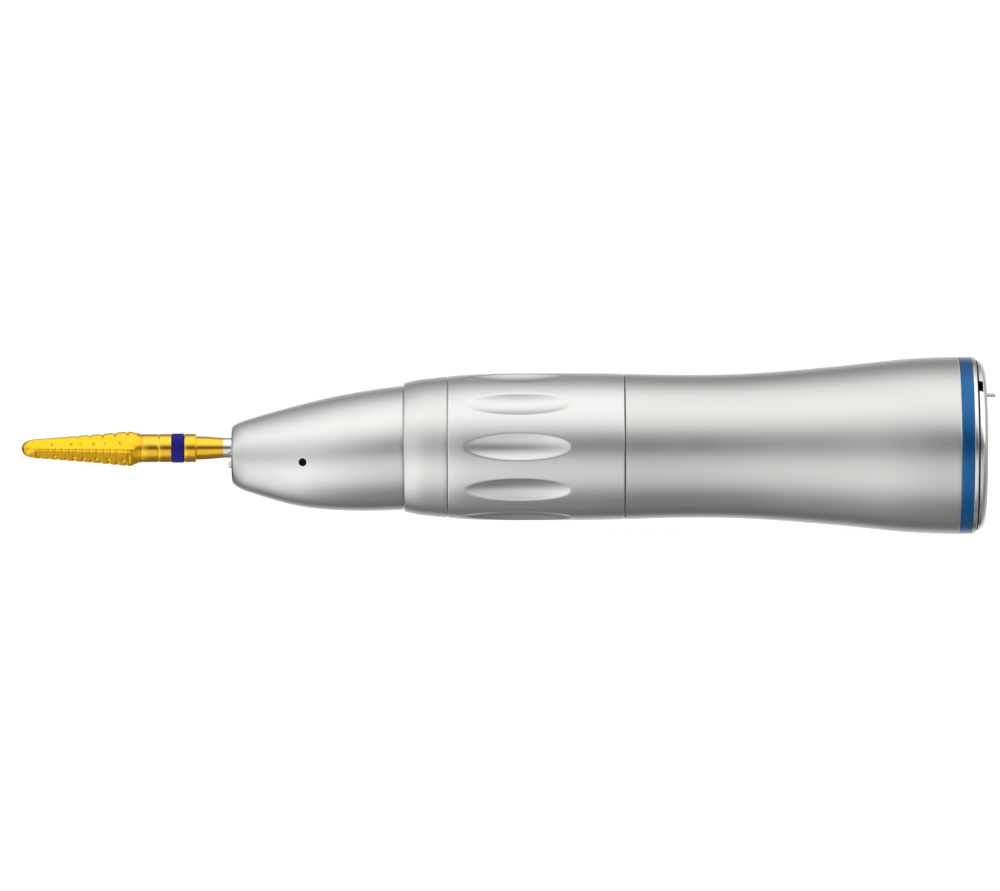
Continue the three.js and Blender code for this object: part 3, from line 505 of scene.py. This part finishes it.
# ---------------------------------------------------------------- front bearing housing and centre frame
add(turned("front_housing", [(-78.5, 4.02), (-78.5, 4.4), (-60.0, 4.4), (-60.0, 3.6), (-70.0, 3.6), (-70.0, 3.4), (-70.75, 3.4), (-70.75, 4.02)], "steel"), "housing", "steel")
add(cut(tube("front_bearing_nut", -78.4, -77.3, 3.15, 3.98, "steel"), [radial_block(-78.4, 0, 3, 4.2, 0.8, 0.8), radial_block(-78.4, 180, 3, 4.2, 0.8, 0.8)]), "housing", "steel")
add(tube("bearing_outer_spacer", -74.7, -73.8, 3.65, 3.98, "steel"), "housing", "steel")
wave = []
for p, q in ((-0.05, 3.5), (-0.05, 3.95), (0.05, 3.95), (0.05, 3.5)):
    wave.append([(-70.99 + p + 0.1 * math.cos(3 * a), q * math.cos(a), q * math.sin(a)) for a in np.arange(N_MED) * 2 * math.pi / N_MED])
add(rings("preload_wave_spring", wave, "spring_steel"), "housing", "spring_steel")
add(cut(tube("centre_frame", -59.9, -42.1, 4.5, 5.2, "steel"), [radial_block(-50.9, 0, 3, 6, 2.5, 1.5), radial_block(-50.9, 180, 3, 6, 2.5, 1.5)]), "housing", "steel")
add(tube("front_slide_washer", -62.5, -62.2, 6.9, 7.45, "polymer", N_BIG, 0.05), "housing", "polymer")
add(tube("rear_slide_washer", -42.3, -42.05, 6.9, 7.45, "polymer", N_BIG, 0.05), "housing", "polymer")


def ball(name, c, r, mat):
    bm = bmesh.new()
    bmesh.ops.create_icosphere(bm, subdivisions=4, radius=r * 0.001, matrix=Matrix.Translation(Vector(c) * 0.001))
    me = bpy.data.meshes.new(name)
    bm.to_mesh(me)
    bm.free()
    return finish_mesh(name, me, mat, 80)


add(ball("detent_ball", (-43.1, 0, 6.72), 0.45, "polished_steel"), "housing", "polished_steel")
coil = [(-43.1 + 0.34 * math.cos(t * 8 * math.pi), 0.34 * math.sin(t * 8 * math.pi), 5.58 + 0.62 * t) for t in np.linspace(0, 1, 140)]
add(swept("detent_spring", coil, 0.06, "spring_steel", 10), "housing", "spring_steel")

# ---------------------------------------------------------------- bearings
for tag, xc in (("front_bearing_a", -76.0), ("front_bearing_b", -72.5), ("rear_bearing", -39.75)):
    g = lambda side, pts: [(xc + x, r) for x, r in pts]
    arc_in = [(0.42 * math.sin(t), 3.25 - 0.53 * math.cos(t)) for t in np.linspace(-0.8, 0.8, 9)]
    arc_out = [(0.42 * math.sin(t), 3.25 + 0.53 * math.cos(t)) for t in np.linspace(0.8, -0.8, 9)]
    add(turned(tag + "_inner_race", g(0, [(-1.25, 2.52), (-1.25, 2.88), (-0.4, 2.88)] + arc_in + [(0.4, 2.88), (1.25, 2.88), (1.25, 2.52)]), "polished_steel", edge=0.05), "spindle", "polished_steel")
    add(turned(tag + "_outer_race", g(0, [(1.25, 3.98), (1.25, 3.62), (0.4, 3.62)] + arc_out + [(-0.4, 3.62), (-1.25, 3.62), (-1.25, 3.98)]), "polished_steel", edge=0.05), "housing", "polished_steel")
    cage = tube(tag + "_cage", xc - 0.62, xc + 0.62, 3.08, 3.42, "polymer", edge=0.05)
    add_cage = named(cage, tag + "_cage" + V)
    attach(add_cage, "ball_cages")
    objs = [ball(f"{tag}_ball_{i}", (xc, 3.25 * math.cos(2 * math.pi * (i + 0.5) / 7), 3.25 * math.sin(2 * math.pi * (i + 0.5) / 7)), 0.5, "polished_steel") for i in range(7)]
    bm = bmesh.new()
    for o in objs:
        bm.from_mesh(o.data)
    me = bpy.data.meshes.new(tag + "_balls")
    bm.to_mesh(me)
    bm.free()
    for o in objs:
        bpy.data.objects.remove(o)
    add(finish_mesh(tag + "_balls", me, "polished_steel", 80), "ball_cages", "polished_steel")
add(tube("bearing_inner_spacer", -74.7, -73.8, 2.52, 2.85, "steel"), "spindle", "steel")
add(cut(tube("spindle_nut", -71.15, -69.6, 2.55, 3.2, "steel"), [radial_block(-69.6, 0, 2.4, 3.5, 0.9, 0.8), radial_block(-69.6, 180, 2.4, 3.5, 0.9, 0.8)]), "spindle", "steel")

# ---------------------------------------------------------------- spindle, chuck
add(cut(turned("spindle", [
    (-86.9, 2.0), (-86.9, 2.2), (-78.1, 2.2), (-78.1, 2.95), (-77.3, 2.95), (-77.3, 2.5), (-69.5, 2.5), (-69.5, 2.45),
    (-41.2, 2.45), (-41.2, 2.5), (-38.45, 2.5), (-38.45, 2.05), (-64, 2.05), (-64, 1.7), (-85.6, 1.7)], "steel", edge=0.05), [radial_block(-52.8, 90, -4, 4, 1.56, 0.96)]), "spindle", "steel")
add(cut(turned("drive_dog", [(-43.5, 0), (-43.5, 2.0), (-38.4, 2.0), (-38.4, 2.8), (-37.95, 2.8), (-37.95, 2.1), (-29.0, 2.1), (-28.6, 1.7), (-28.6, 0)], "steel", edge=0.05), [radial_block(-29.0, 90, -4, 4, 4.4, 1.5)]), "spindle", "steel")
helix = [(-63.7 + 7.4 * t, 1.66 * math.cos(t * 12 * math.pi), 1.66 * math.sin(t * 12 * math.pi)) for t in np.linspace(0, 1, 360)]
chuck_spring = add(swept("chuck_spring", helix, 0.2, "spring_steel", 14), "spindle", "spring_steel")
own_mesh(chuck_spring)
add(cut(turned("collet", [(-87.1, 1.2), (-87.1, 1.78), (-86.95, 1.85), (-85.7, 1.6), (-64.6, 1.6), (-64.6, 1.05), (-66.8, 1.05), (-66.8, 0), (-67.2, 0), (-67.2, 1.2)], "steel", edge=0.05),
    [radial_block(-79.8, a, 0.4, 3, 15.6, 0.3) for a in (90, 210, 330)]), "chuck", "steel")
add(cut(turned("draw_bar", [(-66.6, 0), (-66.6, 1.0), (-64.5, 1.0), (-64.5, 1.3), (-51.0, 1.3), (-51.0, 0)], "steel", edge=0.06), [rod("t", (-52.5, 0, -2), (0, 0, 1), 4, 0.43, [], 32, 0.01)]), "chuck", "steel")
add(tube("draw_bar_nut", -56.0, -54.6, 1.35, 1.95, "steel"), "chuck", "steel")
add(cut(tube("pusher_collar", -53.3, -51.7, 2.6, 3.6, "steel"), [rod("t", (-52.5, 0, -4.5), (0, 0, 1), 9, 0.43, [], 32, 0.01)]), "chuck", "steel")
add(rod("cross_pin", (-52.5, 0, -3.4), (0, 0, 1), 6.8, 0.38, "polished_steel", 32, 0.06), "chuck", "polished_steel")
add(cut(tube("shift_ring", -51.35, -49.55, 2.8, 4.3, "steel"), [rod("t", (-50.45, -4.5, 0), (0, 1, 0), 9, 0.7, [], 32, 0.01)]), "shift_ring", "steel")
add(rod("cam_pin_a", (-50.45, 3.15, 0), (0, 1, 0), 4.2, 0.65, "polished_steel", 40, 0.06), "shift_ring", "polished_steel")
add(rod("cam_pin_b", (-50.45, -3.15, 0), (0, -1, 0), 4.2, 0.65, "polished_steel", 40, 0.06), "shift_ring", "polished_steel")


def arc_block(a0, a1, shift, x_lo, x_hi, r_lo, r_hi, name="t"):
    secs = []
    for k in range(25):
        t = k / 24
        a, dx = rad(a0 + (a1 - a0) * t), shift[0] + (shift[1] - shift[0]) * t
        secs.append([(x + dx, r * math.cos(a), r * math.sin(a)) for x, r in ((x_lo, r_lo), (x_hi, r_lo), (x_hi, r_hi), (x_lo, r_hi))])
    return rings(name, secs, [], closed=False, caps=True)


cam = [arc_block(z + 7, z - 52, (7 / 45 * 0.9, -52 / 45 * 0.9), -50.45 - 0.82, -50.45 + 0.82, 6.5, 7.9) for z in (0, 180)]
add(cut(tube("cam_ring", -62.1, -42.4, 6.9, 7.5, "steel", N_BIG), cam + [arc_block(98, 37, (0, 0), -43.62, -42.58, 6.5, 7.28)]), "twist_ring", "steel")

# ---------------------------------------------------------------- cutter
HEAD = [(-111.95, 0.0), (-111.93, 0.22), (-111.85, 0.45), (-111.7, 0.66), (-111.45, 0.84), (-111.1, 0.97), (-110.4, 1.07), (-108, 1.24), (-105.5, 1.44), (-103, 1.64), (-100.8, 1.84), (-99.7, 1.95), (-99.25, 1.96), (-98.9, 1.88), (-98.4, 1.74), (-98.02, 1.66)]
hx = list(np.interp(np.linspace(0, 1, 14), [0, 1], [0, 1]))
stations = [-111.95, -111.93, -111.88, -111.8, -111.68, -111.52, -111.3] + list(np.arange(-111.1, -98.05, 0.06)) + [-98.02]
RIDGES, NH = 5, 320
ang = np.arange(NH) * 2 * math.pi / NH
PITS = [(-108.4, 0.9), (-106.15, 1.0), (-105.0, 0.5), (-103.55, 1.0), (-102.2, 0.6), (-100.45, 1.0)]
head = []
hr = np.array(HEAD)
for x in stations:
    R = float(np.interp(x, hr[:, 0], hr[:, 1])) * (1 + 0.07 * min(1.0, max(0.0, (x + 111.9) / 1.5)) * min(1.0, max(0.0, (-98.4 - x) / 0.8)))
    grow = min(1.0, max(0.0, (x + 111.75) / 1.6)) * min(1.0, max(0.0, (-98.5 - x) / 0.9))
    lead = rad(187.5 + 0.4 * (x + 105))  # a slight helix; one edge faces the front just under the axis
    turn = (ang - lead) / (2 * math.pi) * RIDGES
    k = np.round(turn)
    off = (turn - k) * 2 * math.pi / RIDGES  # angle from the nearest cutting edge
    flat = np.minimum(1.0, 0.862 / np.cos(np.clip(np.abs(np.abs(off) - math.pi / RIDGES), 0, rad(60))))
    land = np.exp(-(off / rad(12.0)) ** 2)
    edge = (k % RIDGES).astype(int)
    pitch = np.array([0.8, 1.0, 1.45, 1.0, 1.45])[edge]
    deep = np.array([0.02, 0.13, 0.24, 0.13, 0.26])[edge]
    grown = np.where(pitch > 1.2, min(1.0, max(0.12, (x + 108.0) / 5.5)), min(1.0, 0.3 + (x + 111.9) / 9.0))
    bite = np.maximum(0, np.cos(2 * math.pi * (x + 100.7 + 0.1 * edge) / pitch)) ** 3 * deep * grown
    r = R * (1 - grow * (1 - flat)) - grow * land * bite
    for q in range(RIDGES):
        d = (ang - lead - q * 2 * math.pi / RIDGES + math.pi) % (2 * math.pi) - math.pi + rad(27)
        for px, size in PITS:
            r = r - grow * (0.07 if q else 0.16) * size * np.exp(-(d / rad(6.0)) ** 2 - ((x - px - 0.31 * q) / 0.13) ** 2)
    head.append([(x, r[i] * math.cos(ang[i]), r[i] * math.sin(ang[i])) for i in range(NH)])
back = [circle(-98.02, 0.85, 0, NH), circle(-101.0, 0.85, 0, NH), circle(-101.0, 0.0, 0, NH)]
head[0] = circle(-111.95, 0.0, 0, NH)
add(rings("cutter_head", head + back, "gold_carbide", closed=False, sharp=32), "cutter", "gold_carbide")
sh = rounded([(-100.8, 0), (-100.8, 0.8), (-98.0, 0.8), (-98.0, 1.66), (-96.12, 1.66), (-96.0, 1.56), (-95.88, 1.66), (-94.5, 1.66), (-94.5, 1.5), (-93.0, 1.5), (-93.0, 1.68),
    (-91.7, 1.66), (-91.62, 1.38), (-90.6, 1.35), (-89.4, 1.25), (-88.5, 1.175), (-67.7, 1.175), (-67.5, 0.97), (-67.5, 0)], 0.07)
shank = rings("cutter_shank", [circle(x, r, 0, N_MED) for x, r in sh], ["gold_shank", "ground_steel"])
for p in shank.data.polygons:
    p.material_index = 1 if p.center.x > -0.0886 else 0
add(shank, "cutter", "gold_shank")
add(tube("cutter_band", -94.46, -93.1, 1.53, 1.7, "navy_band", edge=0.03), "cutter", "navy_band")

# ---------------------------------------------------------------- stage, light, camera
def stage_mesh(name, verts, faces, mat):
    me = bpy.data.meshes.new(name)
    me.from_pydata(verts, [], faces)
    me.materials.append(mat)
    o = bpy.data.objects.new(name, me)
    scene.collection.objects.link(o)
    return o


pale, pnt, pb = shader("pale_floor", (0.22, 0.22, 0.22), 0.9, 0.0, Emission_Color=(1, 1, 1, 1), Emission_Strength=0.9)
pb.inputs["Specular IOR Level"].default_value = 0.0
S = 30
floor = stage_mesh("floor", [(-S, -S, -0.01036), (S, -S, -0.01036), (S, S, -0.01036), (-S, S, -0.01036)], [(0, 1, 2, 3)], pale)
floor.visible_glossy = False

world = bpy.data.worlds.new("studio")
scene.world = world
world.use_nodes = True
world.cycles.sampling_method = "NONE"
nt = world.node_tree
nt.nodes.clear()
tc = nt.nodes.new("ShaderNodeTexCoord")
sp = nt.nodes.new("ShaderNodeSeparateXYZ")
nt.links.new(tc.outputs["Generated"], sp.inputs[0])
neg = nt.nodes.new("ShaderNodeMath"); neg.operation = "MULTIPLY"; neg.inputs[1].default_value = -1
nt.links.new(sp.outputs["Y"], neg.inputs[0])
at = nt.nodes.new("ShaderNodeMath"); at.operation = "ARCTAN2"
nt.links.new(sp.outputs["Z"], at.inputs[0])
nt.links.new(neg.outputs[0], at.inputs[1])
norm = nt.nodes.new("ShaderNodeMath"); norm.operation = "MULTIPLY_ADD"
norm.inputs[1].default_value, norm.inputs[2].default_value = 0.5 / math.pi, 0.5
nt.links.new(at.outputs[0], norm.inputs[0])
# Studio light round the long axis: degrees of height above the front (0 front, 90 overhead, -90 underneath) and brightness.
# One set for what lies beside the object, two for beyond the cutter and one for beyond the motor end.
HEIGHTS = [-180, -165, -150, -136, -122, -108, -95, -82, -70, -58, -47, -37, -28, -20, -13, -6, 0, 6, 13, 20, 28, 38, 50, 64, 78, 92, 107, 122, 136, 150, 165, 180]
BESIDE = [0.9, 0.95, 0.6, 0.12, 0.16, 0.27, 0.2, 0.27, 0.49, 0.82, 0.85, 0.89, 0.87, 0.78, 0.48, 0.22, 0.13, 0.17, 0.27, 0.52, 0.95, 1.14, 1.41, 1.4, 1.38, 1.31, 0.8, 0.44, 0.25, 0.5, 0.9, 0.9]
BEYOND_TIP = [0.8, 0.8, 0.35, 0.09, 0.36, 0.76, 1.09, 1.28, 1.41, 1.53, 1.61, 1.59, 1.47, 1.34, 1.07, 1.04, 1.01, 0.97, 0.98, 1.11, 1.14, 1.36, 1.52, 1.5, 1.32, 1.03, 0.73, 0.53, 0.34, 0.35, 0.75, 0.8]
FAR_TIP = [0.01, 0.01, 0.01, 0.06, 0.24, 0.52, 0.74, 0.87, 0.84, 0.92, 0.96, 0.95, 0.88, 0.8, 0.73, 0.71, 0.69, 0.66, 0.78, 0.89, 0.89, 1.06, 1.19, 1.17, 1.03, 0.81, 0.57, 0.42, 0.27, 0.16, 0.08, 0.02]
BEYOND_END = [0.45, 0.45, 0.4, 0.28, 0.22, 0.24, 0.32, 0.45, 0.55, 0.55, 0.55, 0.55, 0.55, 0.45, 0.35, 0.25, 0.25, 0.25, 0.5, 0.9, 1.35, 1.35, 1.35, 1.35, 1.35, 1.35, 1.35, 1.1, 0.8, 0.5, 0.5, 0.5]


def light_ring(values):
    ramp = nt.nodes.new("ShaderNodeValToRGB")
    els = ramp.color_ramp.elements
    while len(els) > 1:
        els.remove(els[-1])
    for i, (deg, v) in enumerate(zip(HEIGHTS, values)):
        e = els[0] if i == 0 else els.new((deg + 180) / 360)
        e.position = (deg + 180) / 360
        e.color = (v / 2.5, v / 2.5, v / 2.5, 1)
    nt.links.new(norm.outputs[0], ramp.inputs[0])
    return ramp.outputs["Color"]


def toward(start, end):
    r = nt.nodes.new("ShaderNodeMapRange")
    r.interpolation_type = "SMOOTHSTEP"
    r.inputs["From Min"].default_value, r.inputs["From Max"].default_value = start, end
    nt.links.new(sp.outputs["X"], r.inputs["Value"])
    return r.outputs["Result"]


def mixed(fac, a, b):
    m = nt.nodes.new("ShaderNodeMix")
    m.data_type = "RGBA"
    nt.links.new(fac, m.inputs["Factor"])
    nt.links.new(a, m.inputs["A"])
    nt.links.new(b, m.inputs["B"])
    return m.outputs["Result"]


sides = mixed(toward(-0.04, -0.4), light_ring(BESIDE), light_ring(BEYOND_TIP))
sides = mixed(toward(-0.42, -0.64), sides, light_ring(FAR_TIP))
bg = nt.nodes.new("ShaderNodeBackground")
bg.inputs["Strength"].default_value = 2.5
nt.links.new(mixed(toward(0.15, 0.55), sides, light_ring(BEYOND_END)), bg.inputs["Color"])
white = nt.nodes.new("ShaderNodeBackground")
white.inputs["Color"].default_value = (1, 1, 1, 1)
white.inputs["Strength"].default_value = 1.05
lp = nt.nodes.new("ShaderNodeLightPath")
soft = nt.nodes.new("ShaderNodeBackground")
soft.inputs["Color"].default_value = (1, 1, 1, 1)
soft.inputs["Strength"].default_value = 0.22
mixd = nt.nodes.new("ShaderNodeMixShader")
nt.links.new(lp.outputs["Is Diffuse Ray"], mixd.inputs[0])
nt.links.new(bg.outputs[0], mixd.inputs[1])
nt.links.new(soft.outputs[0], mixd.inputs[2])
mixw = nt.nodes.new("ShaderNodeMixShader")
nt.links.new(lp.outputs["Is Camera Ray"], mixw.inputs[0])
nt.links.new(mixd.outputs[0], mixw.inputs[1])
nt.links.new(white.outputs[0], mixw.inputs[2])
outw = nt.nodes.new("ShaderNodeOutputWorld")
nt.links.new(mixw.outputs[0], outw.inputs[0])


def soft_light(name, loc, size, energy, target=(-0.05, 0, 0)):
    l = bpy.data.lights.new(name, "AREA")
    l.shape, l.size, l.size_y, l.energy = "RECTANGLE", size[0], size[1], energy
    o = bpy.data.objects.new(name, l)
    o.location = loc
    o.rotation_euler = (Vector(target) - Vector(loc)).to_track_quat("-Z", "Y").to_euler()
    o.visible_camera = False
    scene.collection.objects.link(o)
    return o


overhead = bpy.data.lights.new("overhead", "SUN")
overhead.energy, overhead.angle = 3.1, rad(76)
overhead_obj = bpy.data.objects.new("overhead", overhead)
overhead_obj.location = (0, 0, 1)
overhead_obj.visible_glossy = False
scene.collection.objects.link(overhead_obj)

cam = bpy.data.objects.new("camera", bpy.data.cameras.new("camera"))
scene.collection.objects.link(cam)
cam.data.lens, cam.data.sensor_width = 337.4, 36
cam.data.clip_start, cam.data.clip_end = 0.01, 100
cam.location = (-0.05633, -1.09, 0.00017)
cam.rotation_euler = (rad(90), rad(0.2), 0)
scene.camera = cam
scene.view_settings.view_transform = "Standard"
